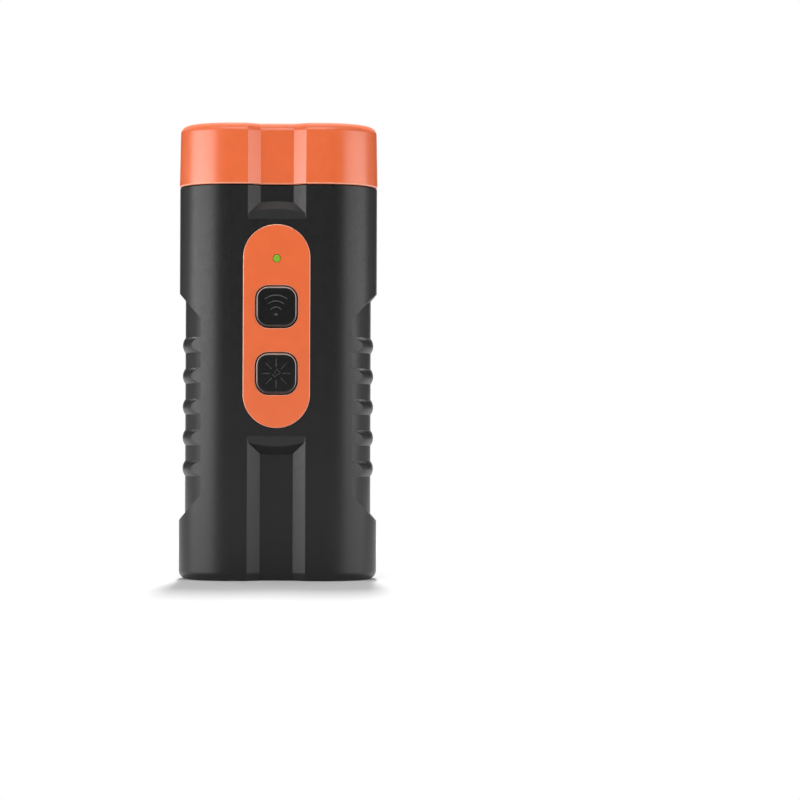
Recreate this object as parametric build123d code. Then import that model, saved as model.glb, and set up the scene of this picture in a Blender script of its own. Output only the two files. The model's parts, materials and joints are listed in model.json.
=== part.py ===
"""Handheld ultrasonic deterrent with a torch: a two-barrel moulded case, 48 x 26 x 110 mm.

The origin is the middle of the foot. +Z runs up to the head, -Y is the front with the keys, and
+X is the holder's right when the front is seen. Sizes are in millimetres. A value ending in _z is
a height above the foot; one ending in _y is a depth, with the front face at negative values.
"""
from build123d import *
from math import cos, radians, sin, sqrt
import os

# ---- Case, outside ----
body_width = 48.0          # across both barrels
body_depth = 26.0          # one barrel's diameter
body_length = 110.0        # foot to crown
cap_length = 14.85
seam_gap = 0.3             # dark line between the cap and the case
cap_proud = 0.1            # the cap stands out past the case by this much
cap_draft = 1.0            # degrees, the cap narrows towards the crown
crown_round = 1.9
cap_rim = 0.25             # bevel round the cap's lower edge
foot_round = 2.0
wall = 2.0

# ---- Channels: two in front and two behind, with sloped sides ----
channel_mouth = 14.0       # width at the face
channel_floor = 7.9        # width at the floor
channel_depth = 2.2
pad_drop = 6.06            # from the top of the case down to the raised pad
pad_length = 56.2
pad_end_radius = 28.0      # the pad's ends are arcs of this radius at the face
pad_end_run = 2.35         # and this much larger at the floor
ramp_length = 2.1          # shallow slope on the pad before each end
ramp_depth = 0.26
pad_edge_round = 0.35

# ---- Grip recesses on the sides ----
grip_z = 41.75
grip_length = 55.2
grip_depth = 1.45
grip_radius = 15.6
grip_end_slope = 1.1       # how fast the ends run out to the barrel's surface
rib_count = 5
rib_pitch = 7.45
rib_height = 0.64
rib_round = 3.0            # radius of a rib's rounded back

# ---- Control panel, keys and indicator ----
panel_rise = 0.36          # the panel's middle above the pad's middle
panel_length = 48.8
panel_width = 16.1
panel_thickness = 1.3
panel_pocket = 1.0
panel_fit = 0.15
panel_edge_round = 0.25
panel_peg = 1.8
panel_peg_length = 1.4
panel_peg_spacing = 41.8
key_width = 9.6
key_corner = 2.9
key_window_fit = 0.3
key_pitch = 16.0
key_drop = 3.37            # the pair of keys sits this far below the panel's middle
key_rise = 0.9             # a key's top stands out past the case's face
key_edge_round = 0.5
key_travel = 0.5
flange_lip = 1.2           # the flange reaches this far past the key on each side
flange_thickness = 0.8
stem_diameter = 3.0
stem_length = 0.3
key_slack = 0.05           # between a stem and the plunger that it presses
indicator_rise = 16.2      # above the panel's middle
indicator_diameter = 1.8
indicator_collar = 0.7
indicator_gap = 0.3        # between the light pipe and its light source

# ---- Joints between the moulded parts ----
parting_gap = 0.12         # fine line round the case where the shells meet
lip_width = 0.9
lip_height = 1.2
lip_fit = 0.12
neck_height = 5.0
neck_fit = 0.15
neck_wall = 1.35
shelf_width = 1.1          # ledge inside the neck that carries the head board
shelf_thickness = 1.2
snap_radius = 0.5
snap_length = 4.0
snap_fit = 0.1
hole_fit = 0.1             # round a peg, a pin or a light pipe

# ---- Screws ----
well_diameter = 4.0
well_floor_y = 3.0
screw_offset = 4.35        # from a barrel's axis out to its screws
screw_diameter = 2.0
screw_length = 10.0
screw_head = 3.6
screw_head_height = 1.4
screw_head_bevel = 0.5
screw_fit = 0.05
boss_wall = 1.2
board_screw_x = 5.3
board_screw_length = 5.0
cross_width = 0.5
cross_length = 2.0
cross_depth = 0.6

# ---- Cells ----
cell_diameter = 14.0
cell_length = 50.0
cell_z = 47.1
cell_lean = 70.0           # degrees, direction from a barrel's axis to its cell's axis
cell_slack = 0.4
cell_nub = 5.5
cell_nub_height = 1.0
cell_bevel = 0.6
strip_thickness = 0.2
strip_width = 6.0
strip_tab = 3.0
stop_slack = 0.2
stop_thickness = 1.2
stop_clearance = 0.5       # between a cell stop and a screw sleeve
cradle_count = 3
cradle_spacing = 18.0
cradle_thickness = 1.5
cradle_fit = 0.15

# ---- Boards and what is soldered to them ----
board_thickness = 1.6
board_width = 15.0
board_corner = 1.5
board_end_gap = 1.0
head_board_thickness = 1.2
head_board_fit = 0.25
switch_size = 6.0
switch_height = 3.5
switch_cover = 0.3
plunger_diameter = 3.4
plunger_rise = 0.7
plunger_foot = 4.4
plunger_foot_height = 0.6
plunger_fit = 0.1
switch_leg_width = 0.7
switch_leg_thickness = 0.3
solder_length = 1.0        # how far a soldered pin passes a board
support_diameter = 5.0     # posts behind the board that take a key's push
foot_post_diameter = 3.0   # posts that grip the board above the charging socket
foot_post_x = 5.2
foot_post_z = 10.5
chip_width = 3.9
chip_length = 4.9
chip_height = 1.5
chip_legs_per_side = 4
chip_leg_pitch = 1.27
chip_leg_width = 0.4
chip_leg_reach = 1.0
chip_leg_thickness = 0.2
charger_z = 13.0
small_rows = 4             # resistors and capacitors beside the switches, in two columns
small_length = 1.6
small_width = 0.8
small_height = 0.55
small_x = 5.5
coil_rise = 6.3            # above the indicator
coil_diameter = 8.0
coil_height = 4.2
coil_flange = 0.7
coil_core_diameter = 3.5
coil_winding_inset = 0.3
capacitor_drop = 10.8      # below the torch key
capacitor_diameter = 5.0
capacitor_height = 7.0
capacitor_groove = 0.35
capacitor_groove_height = 0.9
led_length = 2.0
led_width = 1.25
led_height = 0.8
socket_width = 8.94
socket_thickness = 3.26
socket_depth = 7.35
socket_wall = 0.3
socket_setback = 0.4       # the socket's mouth lies this far inside the foot
socket_fit = 0.25
tongue_width = 6.7
tongue_thickness = 0.7
tongue_length = 4.4
tongue_block = 1.6
header_pin_count = 4
header_pitch = 2.54
header_size = 2.5
header_pin = 0.64
header_drop = 1.5          # from the main board's upper edge down to the header

# ---- Emitters and torch ----
emitter_diameter = 13.0
emitter_height = 11.0
emitter_wall = 0.4
emitter_opening = 11.0     # hole over each emitter in the crown
emitter_fit = 0.15
emitter_gap = 0.65         # between the lamp's flange and a sleeve
sleeve_wall = 0.8
sleeve_gap = 0.5           # between the neck's top and the sleeves that hold the emitters
foam_thickness = 0.8
grille_thickness = 0.5
grille_pitch = 1.7
grille_bar = 0.45
emitter_base_thickness = 1.5
emitter_pin = 0.8
emitter_pin_spacing = 5.0
pedestal_height = 1.2
pedestal_wall = 0.8
disc_diameter = 9.0
disc_thickness = 0.6
horn_mouth = 8.0
horn_throat = 2.0
horn_height = 3.2
horn_wall = 0.3
torch_diameter = 5.0
torch_height = 8.6
torch_flange = 0.4
torch_flange_height = 1.0
torch_setback = 0.1        # the dome's top lies this far below the crown
torch_fit = 0.1
torch_leg = 0.5
torch_leg_spacing = 2.54

# ---- Worked out from the sizes above ----
barrel_radius = body_depth / 2
barrel_x = (body_width - body_depth) / 2
face_y = -barrel_radius
inner_y = face_y + wall
cap_z = body_length - cap_length
body_top_z = cap_z - seam_gap
ceiling_z = body_length - wall
neck_top_z = body_top_z + neck_height
neck_inset = wall + neck_fit
bore_inset = neck_inset + neck_wall
shelf_z = ceiling_z - foam_thickness - emitter_height - head_board_thickness
hollow_top_z = min(body_top_z, shelf_z) - shelf_thickness
pad_z = body_top_z - pad_drop - pad_length / 2
panel_z = pad_z + panel_rise
screw_x = barrel_x + screw_offset
sleeve_reach = emitter_diameter / 2 + emitter_fit + sleeve_wall
emitter_x = max(barrel_x, torch_diameter / 2 + torch_flange + emitter_gap + sleeve_reach)
key_rows = (panel_z - key_drop - key_pitch / 2, panel_z - key_drop + key_pitch / 2)
flange_y = inner_y + flange_thickness
plunger_y = flange_y + stem_length + key_slack
switch_y = plunger_y + plunger_rise
board_y = switch_y + switch_height
board_back_y = board_y + board_thickness
board_low_z = wall + board_end_gap
board_high_z = hollow_top_z - board_end_gap
sleeve_radius = well_diameter / 2 + boss_wall
row_offset = (cell_length / 2 + strip_thickness + stop_slack + stop_thickness + stop_clearance
              + sleeve_radius)
screw_rows = (cell_z - row_offset, cell_z + row_offset)
indicator_z = panel_z + indicator_rise
coil_z = indicator_z + coil_rise
capacitor_z = key_rows[0] - capacitor_drop
board_screw_rows = (capacitor_z, indicator_z)
emitter_z = shelf_z + head_board_thickness
over = 1.0                 # how far a cutting shape runs past the face that it cuts

BASE = (Align.CENTER, Align.CENTER, Align.MIN)
SIDES = (-1, 1)
SIDE_NAMES = {-1: "left", 1: "right"}


# ---- Small helpers ----
def spread(count, pitch):
    """Places along a line, evenly spaced about zero."""
    return [(place - (count - 1) / 2) * pitch for place in range(count)]


def rod_y(diameter, start, end, x=0.0, z=0.0):
    """A round bar along Y."""
    bar = Cylinder(diameter / 2, end - start, align=BASE)
    return Pos(x, start, z) * Rot(X=-90) * bar


def rod_z(diameter, start, end, x=0.0, y=0.0):
    """A round bar along Z."""
    return Pos(x, y, start) * Cylinder(diameter / 2, end - start, align=BASE)


def block(x0, x1, y0, y1, z0, z1):
    """A box between two corners."""
    middle = Pos((x0 + x1) / 2, (y0 + y1) / 2, (z0 + z1) / 2)
    return middle * Box(x1 - x0, y1 - y0, z1 - z0)


def slab_y(start, end):
    """All of the case between two depths."""
    return block(-body_width, body_width, start, end, -body_length, 2 * body_length)


def slab_z(start, end):
    """All of the case between two heights."""
    return block(-body_width, body_width, -body_width, body_width, start, end)


def turned(points, x=0.0, y=0.0, z=0.0):
    """A part turned about a vertical line, from (radius, height) points."""
    profile = make_face(Plane.XZ * Polyline(*points, close=True))
    return Pos(x, y, z) * revolve(profile, Axis.Z)


def mirror_x(shape):
    return mirror(shape, Plane.YZ)


# ---- Shapes of the case ----
def channel_plan(grow=0.0):
    """Plan of a front channel: a trapezoid, open to the front, its walls moved out by grow."""
    slope = (channel_mouth - channel_floor) / 2 / channel_depth
    spread = sqrt(1 + slope**2) * grow
    outer = channel_mouth / 2 + slope * over + spread
    inner = channel_floor / 2 - slope * grow + spread
    deep_y = face_y + channel_depth + grow
    open_y = face_y - over
    return make_face(Polyline((-outer, open_y), (outer, open_y), (inner, deep_y),
                              (-inner, deep_y), close=True))


def section(inset=0.0):
    """Plan of the case through its channels: two barrels with a web between them."""
    front = channel_plan(inset)
    outline = SlotOverall(body_width - 2 * inset, body_depth - 2 * inset)
    return outline - front - mirror(front, Plane.XZ)


def ramp_block(grow=0.0):
    """What lies behind the face and behind the shallow ramp at the pad's upper end."""
    slope = ramp_depth / ramp_length
    start_z = pad_z + pad_length / 2 - ramp_length
    start_y = face_y + sqrt(1 + slope**2) * grow
    back_y = face_y + channel_depth + grow + 2 * over
    run = (back_y - start_y) / slope
    side = make_face(Plane.YZ * Polyline((start_y - slope * start_z, 0), (back_y, 0),
                                         (back_y, start_z + run), close=True))
    return extrude(side, channel_mouth, both=True)


def channel(grow=0.0):
    """The upper front channel, whose lower end runs out in an arc round the pad."""
    prism = Pos(0, 0, pad_z) * extrude(channel_plan(grow), body_length)
    slope = pad_end_run / channel_depth
    shrink = sqrt(1 + slope**2) * grow
    rim = pad_end_radius - slope * over - shrink
    root = pad_end_radius + pad_end_run + slope * grow - shrink
    depth = channel_depth + grow + over
    centre_z = pad_z + pad_length / 2 - pad_end_radius
    pad = Pos(0, face_y - over, centre_z) * Rot(X=-90) * Cone(rim, root, depth, align=BASE)
    return prism - (pad & ramp_block(grow))


def channels(grow=0.0):
    """The four channels: upper and lower, front and rear."""
    upper = channel(grow)
    lower = mirror(upper, Plane.XY.offset(pad_z))
    return [upper, lower, mirror(upper, Plane.XZ), mirror(lower, Plane.XZ)]


grip_centre_x = body_width / 2 - grip_depth - grip_radius


def grip(grow=0.0):
    """The right-hand grip recess: a flatter cylinder with ends that slope out to the barrel."""
    start_x = grip_centre_x + grip_radius / 2
    end_x = body_width / 2 + over
    half = grip_length / 2 + sqrt(1 + grip_end_slope**2) * grow
    near = half - (body_width / 2 - start_x) * grip_end_slope
    far = half + over * grip_end_slope
    side = make_face(Plane.XZ * Polyline((start_x, -near), (end_x, -far), (end_x, far),
                                         (start_x, near), close=True))
    span = Pos(0, 0, grip_z) * extrude(side, body_depth, both=True)
    core = Pos(grip_centre_x, 0, grip_z) * Cylinder(grip_radius - grow, 2 * body_length)
    return span - core


def grip_ribs():
    """Rounded finger ribs across the right-hand grip recess."""
    ring = Torus(grip_radius + rib_height - rib_round, rib_round)
    core = Cylinder(grip_radius - wall / 2, body_length)
    ribs = [Pos(0, 0, row) * ring for row in spread(rib_count, rib_pitch)]
    near = block(grip_centre_x + grip_radius / 2, body_width, -body_depth, body_depth, 0, body_length)
    barrels = extrude(SlotOverall(body_width, body_depth), body_length)
    return [((Pos(grip_centre_x, 0, grip_z) * (rib - core)) & near) & barrels for rib in ribs]


def hollow(inset):
    """The space inside the case, its walls inset from the outside."""
    height = hollow_top_z - inset
    space = Pos(0, 0, inset) * extrude(SlotOverall(body_width - 2 * inset, body_depth - 2 * inset),
                                       height)
    for cut in channels(inset):
        space -= cut
    recess = grip(inset)
    return space - recess - mirror_x(recess)


def mouth_edges(form):
    """The edges where the channels' sides meet the two flat faces."""
    faces = [face for face in form.faces().filter_by(Axis.Y)
             if abs(abs(face.center().Y) - barrel_radius) < 0.01]
    return [edge for face in faces for edge in face.edges()
            if abs(edge.center().X) < channel_mouth / 2 + 0.01]


def case_outside():
    """The closed outer form of both shells, with the neck that the cap fits over."""
    form = extrude(SlotOverall(body_width, body_depth), body_top_z)
    for cut in channels():
        form -= cut
    form = fillet(form.edges().group_by(Axis.Z)[0], foot_round)
    form = fillet(mouth_edges(form), pad_edge_round)
    recess = grip()
    form = form - recess - mirror_x(recess)
    for rib in grip_ribs():
        form = form + rib + mirror_x(rib)
    neck = Pos(0, 0, hollow_top_z) * extrude(section(neck_inset), neck_top_z - hollow_top_z)
    return form + neck


def snaps(grow=0.0):
    """The two beads on the neck that click into the cap."""
    height = (body_top_z + neck_top_z) / 2
    bead = rod_y(2 * (snap_radius + grow), -snap_length / 2 - grow, snap_length / 2 + grow,
                 body_width / 2 - neck_inset, height)
    return bead + mirror_x(bead)


def socket_slot():
    """The slot in the foot for a charging plug; it ends at the line where the shells meet."""
    width = socket_width + 2 * socket_fit
    thickness = socket_thickness + 2 * socket_fit
    middle = board_back_y + socket_thickness / 2
    round_end = Pos(0, middle) * SlotOverall(width, thickness)
    straight = Pos(0, middle / 2) * Rectangle(width, -middle)
    return Pos(0, 0, -over) * extrude(round_end + straight, wall + 2 * over)


def case_blank():
    """The hollow case before it is split into a front and a rear shell."""
    case = case_outside() + snaps()
    case -= hollow(wall)
    case -= Pos(0, 0, hollow_top_z - over) * extrude(section(bore_inset + shelf_width), cap_length)
    case -= Pos(0, 0, shelf_z) * extrude(section(bore_inset), cap_length + neck_height)
    header_y = board_back_y + header_size / 2
    reach = header_pin_count * header_pitch / 2
    case -= block(-reach, reach, header_y - header_pin, header_y + header_pin, board_high_z, shelf_z)
    return case - socket_slot()


# ---- Shells ----
def front_shell(case):
    shell = case & slab_y(-body_depth, -parting_gap / 2)
    rim = hollow(wall - lip_width - lip_fit) & slab_y(-lip_height - lip_fit, over)
    shell -= rim & slab_z(-over, hollow_top_z)
    limit = hollow(wall / 2)
    for side in SIDES:
        for z in screw_rows:
            shell += rod_y(2 * (screw_diameter / 2 + boss_wall), face_y, 0, side * screw_x, z) & limit
            depth = screw_length - well_floor_y + over
            shell -= rod_y(screw_diameter + screw_fit, -depth, over, side * screw_x, z)
        for z in board_screw_rows:
            post = rod_y(2 * (screw_diameter / 2 + boss_wall), face_y, board_y,
                         side * board_screw_x, z)
            shell += post & limit
            depth = board_screw_length - board_thickness + over
            shell -= rod_y(screw_diameter + screw_fit, board_y - depth, board_y + over,
                           side * board_screw_x, z)
        shell += rod_y(foot_post_diameter, face_y, board_y, side * foot_post_x, foot_post_z) & limit
    pocket = Pos(0, face_y, panel_z) * panel_outline(panel_fit, panel_pocket, -over)
    shell -= pocket
    window = key_width + 2 * key_window_fit
    for z in key_rows:
        shell -= key_prism(window, key_corner + key_window_fit, face_y, inner_y + over, z)
    shell -= rod_y(indicator_diameter + 2 * hole_fit, face_y, inner_y + over, 0,
                   indicator_z)
    for end in SIDES:
        shell -= rod_y(panel_peg + 2 * hole_fit, face_y, inner_y + over, 0,
                       panel_z + end * panel_peg_spacing / 2)
    return shell


def rear_shell(case):
    shell = case & slab_y(parting_gap / 2, body_depth)
    tongue = (hollow(wall - lip_width) - hollow(wall)) & slab_y(-lip_height, wall)
    shell += tongue & slab_z(wall - lip_width, hollow_top_z)
    limit = hollow(wall / 2)
    for side in SIDES:
        for z in screw_rows:
            shell += rod_y(2 * sleeve_radius, 0, barrel_radius, side * screw_x, z) & limit
            shell -= rod_y(well_diameter, well_floor_y, body_depth, side * screw_x, z)
            shell -= rod_y(screw_diameter + 2 * hole_fit, -over, body_depth, side * screw_x, z)
        shell += rod_y(foot_post_diameter, board_back_y, barrel_radius, side * foot_post_x,
                       foot_post_z) & limit
    for z in key_rows:
        shell += rod_y(support_diameter, board_back_y, barrel_radius, 0, z) & limit
    shell += cell_cradles() & limit
    return shell - socket_slot()


def cell_place():
    """X and Y of the right-hand cell, pushed towards the rear wall until its slack is left."""
    lean = radians(cell_lean)
    room = barrel_radius - wall - cell_diameter / 2 - cell_slack
    across = barrel_x - grip_centre_x
    grip_room = grip_radius - wall - cell_diameter / 2 - cell_slack
    grip_reach = sqrt(grip_room**2 - (across * sin(lean))**2) - across * cos(lean)
    reach = min(room, grip_reach)
    return barrel_x + reach * cos(lean), reach * sin(lean)


def cell_cradles():
    """Ribs across the rear shell that hold the two cells, with a stop past each end."""
    cell_x, cell_y = cell_place()
    plates = []
    for row in spread(cradle_count, cradle_spacing):
        z = cell_z + row
        plates.append(block(-body_width, body_width, cell_y, body_depth,
                            z - cradle_thickness / 2, z + cradle_thickness / 2))
    cradle = Part() + plates
    for side in SIDES:
        cradle -= rod_z(cell_diameter + 2 * cradle_fit, 0, body_length, side * cell_x, cell_y)
    end = cell_length / 2 + strip_thickness + stop_slack
    for way in SIDES:
        near = cell_z + way * end
        far = near + way * stop_thickness
        cradle += block(-body_width, body_width, cell_y, body_depth, min(near, far), max(near, far))
    return cradle


# ---- Head cap ----
def head_cap():
    rim_z = cap_z + cap_rim
    cap = Pos(0, 0, rim_z) * extrude(section(-cap_proud), body_length - rim_z, taper=cap_draft)
    cap = fillet(cap.edges().group_by(Axis.Z)[-1], crown_round)
    mouths = [edge for edge in cap.edges().filter_by(GeomType.LINE)
              if edge.length > cap_length / 2
              and abs(abs(edge.center().X) - channel_mouth / 2) < pad_edge_round
              and abs(edge.center().Y) > barrel_radius - pad_edge_round]
    cap = fillet(mouths, pad_edge_round)
    cap += Pos(0, 0, cap_z) * extrude(section(cap_rim - cap_proud), cap_rim, taper=-45)
    cap -= Pos(0, 0, cap_z - over) * extrude(section(wall), ceiling_z - cap_z + over)
    cap -= snaps(snap_fit)
    for side in SIDES:
        x = side * emitter_x
        bore = emitter_diameter + 2 * emitter_fit
        sleeve = rod_z(bore + 2 * sleeve_wall, neck_top_z + sleeve_gap, ceiling_z + wall / 2, x)
        cap += sleeve - rod_z(bore, cap_z, body_length, x)
        cap -= rod_z(emitter_opening, cap_z, body_length + over, x)
    return cap - rod_z(torch_diameter + 2 * torch_fit, cap_z, body_length + over)


# ---- Control panel, keys and indicator ----
def panel_outline(grow, start, end):
    """The panel's stadium, between two depths measured inward from the face."""
    plan = SlotOverall(panel_length + 2 * grow, panel_width + 2 * grow, rotation=90)
    return Pos(0, start, 0) * extrude(Plane.XZ * plan, start - end)


def key_prism(width, corner, start, end, z):
    """A square bar with rounded corners along Y."""
    plan = Plane.XZ * RectangleRounded(width, width, corner)
    return Pos(0, end, z) * extrude(plan, end - start)


def control_panel():
    plate = Pos(0, face_y, panel_z) * panel_outline(0, panel_pocket, panel_pocket - panel_thickness)
    front = face_y + panel_pocket - panel_thickness - over
    back = face_y + panel_pocket
    window = key_width + 2 * key_window_fit
    for z in key_rows:
        plate -= key_prism(window, key_corner + key_window_fit, front, back + over, z)
    plate = fillet(plate.edges().group_by(Axis.Y)[0], panel_edge_round)
    plate -= rod_y(indicator_diameter + 2 * hole_fit, front, back + over, 0, indicator_z)
    for end in SIDES:
        plate += rod_y(panel_peg, back, back + panel_peg_length, 0,
                       panel_z + end * panel_peg_spacing / 2)
    return plate


def key(z):
    top_y = face_y - key_rise
    button = key_prism(key_width, key_corner, top_y, inner_y, z)
    button = fillet(button.edges().group_by(Axis.Y)[0], key_edge_round)
    button += key_prism(key_width + 2 * flange_lip, key_corner + flange_lip, inner_y, flange_y, z)
    return button + rod_y(stem_diameter, flange_y, flange_y + stem_length, 0, z)


def indicator_lens():
    z = indicator_z
    front = face_y + panel_pocket - panel_thickness
    pipe = rod_y(indicator_diameter, front, board_y - led_height - indicator_gap, 0, z)
    pipe = fillet(pipe.edges().group_by(Axis.Y)[0], indicator_diameter / 6)
    collar = indicator_diameter + 2 * indicator_collar
    return pipe + rod_y(collar, inner_y, inner_y + indicator_collar, 0, z)


# ---- Screws ----
def screw(length, head_y, x, z):
    """A pan-head screw that points to the front, its head seated at head_y."""
    shank = rod_y(screw_diameter, head_y - length, head_y, x, z)
    shank = chamfer(shank.edges().group_by(Axis.Y)[0], screw_diameter / 4)
    head = rod_y(screw_head, head_y, head_y + screw_head_height, x, z)
    head = chamfer(head.edges().group_by(Axis.Y)[-1], screw_head_bevel)
    top = head_y + screw_head_height
    for wide, high in ((cross_length, cross_width), (cross_width, cross_length)):
        head -= block(x - wide / 2, x + wide / 2, top - cross_depth, top + over,
                      z - high / 2, z + high / 2)
    return shank + head


def shell_screws():
    return Compound([screw(screw_length, well_floor_y, side * screw_x, z)
                     for side in SIDES for z in screw_rows])


def board_screws():
    return Compound([screw(board_screw_length, board_back_y, side * board_screw_x, z)
                     for side in SIDES for z in board_screw_rows])


# ---- Boards ----
def main_board():
    height = board_high_z - board_low_z
    plan = Plane.XZ * RectangleRounded(board_width, height, board_corner)
    board = Pos(0, board_back_y, board_low_z + height / 2) * extrude(plan, board_thickness)
    for side in SIDES:
        for z in board_screw_rows:
            board -= rod_y(screw_diameter + 2 * hole_fit, board_y - over, board_back_y + over,
                           side * board_screw_x, z)
        for z in key_rows:
            for end in SIDES:
                x, leg_z = switch_leg_place(side, end, z)
                board -= block(x - switch_leg_thickness, x + switch_leg_thickness,
                               board_y - over, board_back_y + over,
                               leg_z - switch_leg_width, leg_z + switch_leg_width)
    return board


def head_board():
    board = Pos(0, 0, shelf_z) * extrude(section(bore_inset + head_board_fit), head_board_thickness)
    top = shelf_z + head_board_thickness + over
    for x in spread(header_pin_count, header_pitch):
        board -= rod_z(header_pin * sqrt(2) + hole_fit, shelf_z - over, top, x, header_y())
    for side in SIDES:
        board -= rod_z(torch_leg * sqrt(2) + hole_fit, shelf_z - over, top, side * torch_leg_spacing / 2)
        for pin in SIDES:
            x = side * emitter_x
            board -= rod_z(emitter_pin + 2 * hole_fit, shelf_z - over, top, x,
                           pin * emitter_pin_spacing / 2)
    return board


def header_y():
    return board_back_y + header_size / 2


def head_header():
    top = board_high_z - header_drop
    reach = header_pin_count * header_pitch / 2
    body = block(-reach, reach, board_back_y, board_back_y + header_size, top - header_size, top)
    body = chamfer(body.edges().filter_by(Axis.Y), header_size / 8)
    for x in spread(header_pin_count, header_pitch):
        half = header_pin / 2
        body -= block(x - half, x + half, header_y() - half, header_y() + half,
                      top - header_size - over, top + over)
    return body


def header_pin_set():
    bottom = board_high_z - header_drop - header_size - header_pin
    top = shelf_z + head_board_thickness + solder_length
    half = header_pin / 2
    return Compound([block(x - half, x + half, header_y() - half, header_y() + half, bottom, top)
                     for x in spread(header_pin_count, header_pitch)])


# ---- Switches ----
def switch_leg_place(side, end, z):
    x = side * (switch_size / 2 + switch_leg_thickness / 2)
    return x, z + end * switch_size / 4


def switch_base(z):
    half = switch_size / 2
    front = switch_y + switch_cover
    base = block(-half, half, front, board_y, z - half, z + half)
    base = chamfer(base.edges().filter_by(Axis.Y), switch_size / 12)
    well_end = front + plunger_foot_height + key_travel + plunger_fit + key_slack
    return base - rod_y(plunger_foot + 2 * plunger_fit, front - over, well_end, 0, z)


def switch_cover_plate(z):
    half = switch_size / 2
    plate = block(-half, half, switch_y, switch_y + switch_cover, z - half, z + half)
    plate = chamfer(plate.edges().filter_by(Axis.Y), switch_size / 12)
    return plate - rod_y(plunger_diameter + 2 * plunger_fit, switch_y - over, board_y, 0, z)


def switch_plunger(z):
    foot_y = switch_y + switch_cover + key_slack
    stem = rod_y(plunger_diameter, plunger_y, foot_y, 0, z)
    stem = chamfer(stem.edges().group_by(Axis.Y)[0], plunger_rise / 4)
    return stem + rod_y(plunger_foot, foot_y, foot_y + plunger_foot_height, 0, z)


def switch_terminals(z):
    """Four flat legs beside the base, passing through the board."""
    legs = []
    for side in SIDES:
        for end in SIDES:
            x, leg_z = switch_leg_place(side, end, z)
            legs.append(block(x - switch_leg_thickness / 2, x + switch_leg_thickness / 2,
                              switch_y + switch_height / 2, board_back_y + solder_length,
                              leg_z - switch_leg_width / 2, leg_z + switch_leg_width / 2))
    return Compound(legs)


# ---- Parts soldered to the main board ----
def chip(x, z, board_face, away):
    """A small eight-leg chip body on one face of the board; away is the way off that face."""
    lift = board_face + away * chip_leg_thickness
    top = board_face + away * chip_height
    body = block(x - chip_width / 2, x + chip_width / 2, min(lift, top), max(lift, top),
                 z - chip_length / 2, z + chip_length / 2)
    edges = body.edges().group_by(Axis.Y)[-1 if away > 0 else 0]
    return chamfer(edges, chip_height / 6)


def chip_legs(x, z, board_face, away):
    legs = []
    for side in SIDES:
        root = x + side * chip_width / 2
        tip = root + side * chip_leg_reach
        for row in spread(chip_legs_per_side, chip_leg_pitch):
            foot_z = z + row
            foot = board_face + away * chip_leg_thickness
            leg = block(min(root, tip), max(root, tip), min(board_face, foot), max(board_face, foot),
                        foot_z - chip_leg_width / 2, foot_z + chip_leg_width / 2)
            knee = board_face + away * chip_height / 2
            inner = root + side * chip_leg_thickness
            leg += block(min(root, inner), max(root, inner), min(board_face, knee),
                         max(board_face, knee), foot_z - chip_leg_width / 2,
                         foot_z + chip_leg_width / 2)
            legs.append(leg)
    return legs


driver_place = (0, sum(key_rows) / 2, board_y, -1)
charger_place = (0, charger_z, board_back_y, 1)


def chip_pins():
    return Compound(chip_legs(*driver_place) + chip_legs(*charger_place))


def small_parts():
    """Resistors and capacitors in two columns on the board's front, beside the switches."""
    blocks = []
    for side in SIDES:
        for row in spread(small_rows, key_pitch / 2):
            z = sum(key_rows) / 2 + row
            blocks.append(block(side * small_x - small_length / 2, side * small_x + small_length / 2,
                                board_y - small_height, board_y,
                                z - small_width / 2, z + small_width / 2))
    return Compound(blocks)


def coil_core():
    """A drum core: two flanges on a round post, on the board's front."""
    top = board_y - coil_height
    post = rod_y(coil_core_diameter, top, board_y, 0, coil_z)
    low = rod_y(coil_diameter, board_y - coil_flange, board_y, 0, coil_z)
    return post + low + rod_y(coil_diameter, top, top + coil_flange, 0, coil_z)


def coil_winding():
    start = board_y - coil_height + coil_flange
    end = board_y - coil_flange
    winding = rod_y(coil_diameter - 2 * coil_winding_inset, start, end, 0, coil_z)
    return winding - rod_y(coil_core_diameter, start - over, end + over, 0, coil_z)


def capacitor():
    """A round can with the rolled groove near its foot."""
    radius = capacitor_diameter / 2
    groove = capacitor_groove
    low = capacitor_groove_height
    points = ((0, 0), (radius, 0), (radius, low), (radius - groove, low + groove),
              (radius, low + 2 * groove), (radius, capacitor_height - groove),
              (radius - groove, capacitor_height), (0, capacitor_height))
    return Pos(0, board_back_y, capacitor_z) * Rot(X=-90) * turned(points)


def indicator_led():
    z = indicator_z
    return block(-led_length / 2, led_length / 2, board_y - led_height, board_y,
                 z - led_width / 2, z + led_width / 2)


# ---- Charging socket ----
socket_y = board_back_y + socket_thickness / 2


def socket_shell():
    inner = SlotOverall(socket_width - 2 * socket_wall, socket_thickness - 2 * socket_wall)
    ring = SlotOverall(socket_width, socket_thickness) - inner
    return Pos(0, socket_y, socket_setback) * extrude(ring, socket_depth)


def socket_tongue():
    plug = SlotOverall(socket_width - 2 * socket_wall, socket_thickness - 2 * socket_wall)
    top = socket_setback + socket_depth
    back = Pos(0, socket_y, top - tongue_block) * extrude(plug, tongue_block)
    tongue = block(-tongue_width / 2, tongue_width / 2, socket_y - tongue_thickness / 2,
                   socket_y + tongue_thickness / 2, top - tongue_block - tongue_length,
                   top - tongue_block)
    tongue = chamfer(tongue.edges().group_by(Axis.Z)[0], tongue_thickness / 4)
    return back + tongue


# ---- Cells and strips ----
def cell(side):
    """A round lithium cell, its raised terminal up."""
    cell_x, cell_y = cell_place()
    body = rod_z(cell_diameter, cell_z - cell_length / 2, cell_z + cell_length / 2 - cell_nub_height,
                 side * cell_x, cell_y)
    body = chamfer(body.edges().filter_by(GeomType.CIRCLE), cell_bevel)
    nub = rod_z(cell_nub, cell_z, cell_z + cell_length / 2, side * cell_x, cell_y)
    return body + nub


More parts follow.
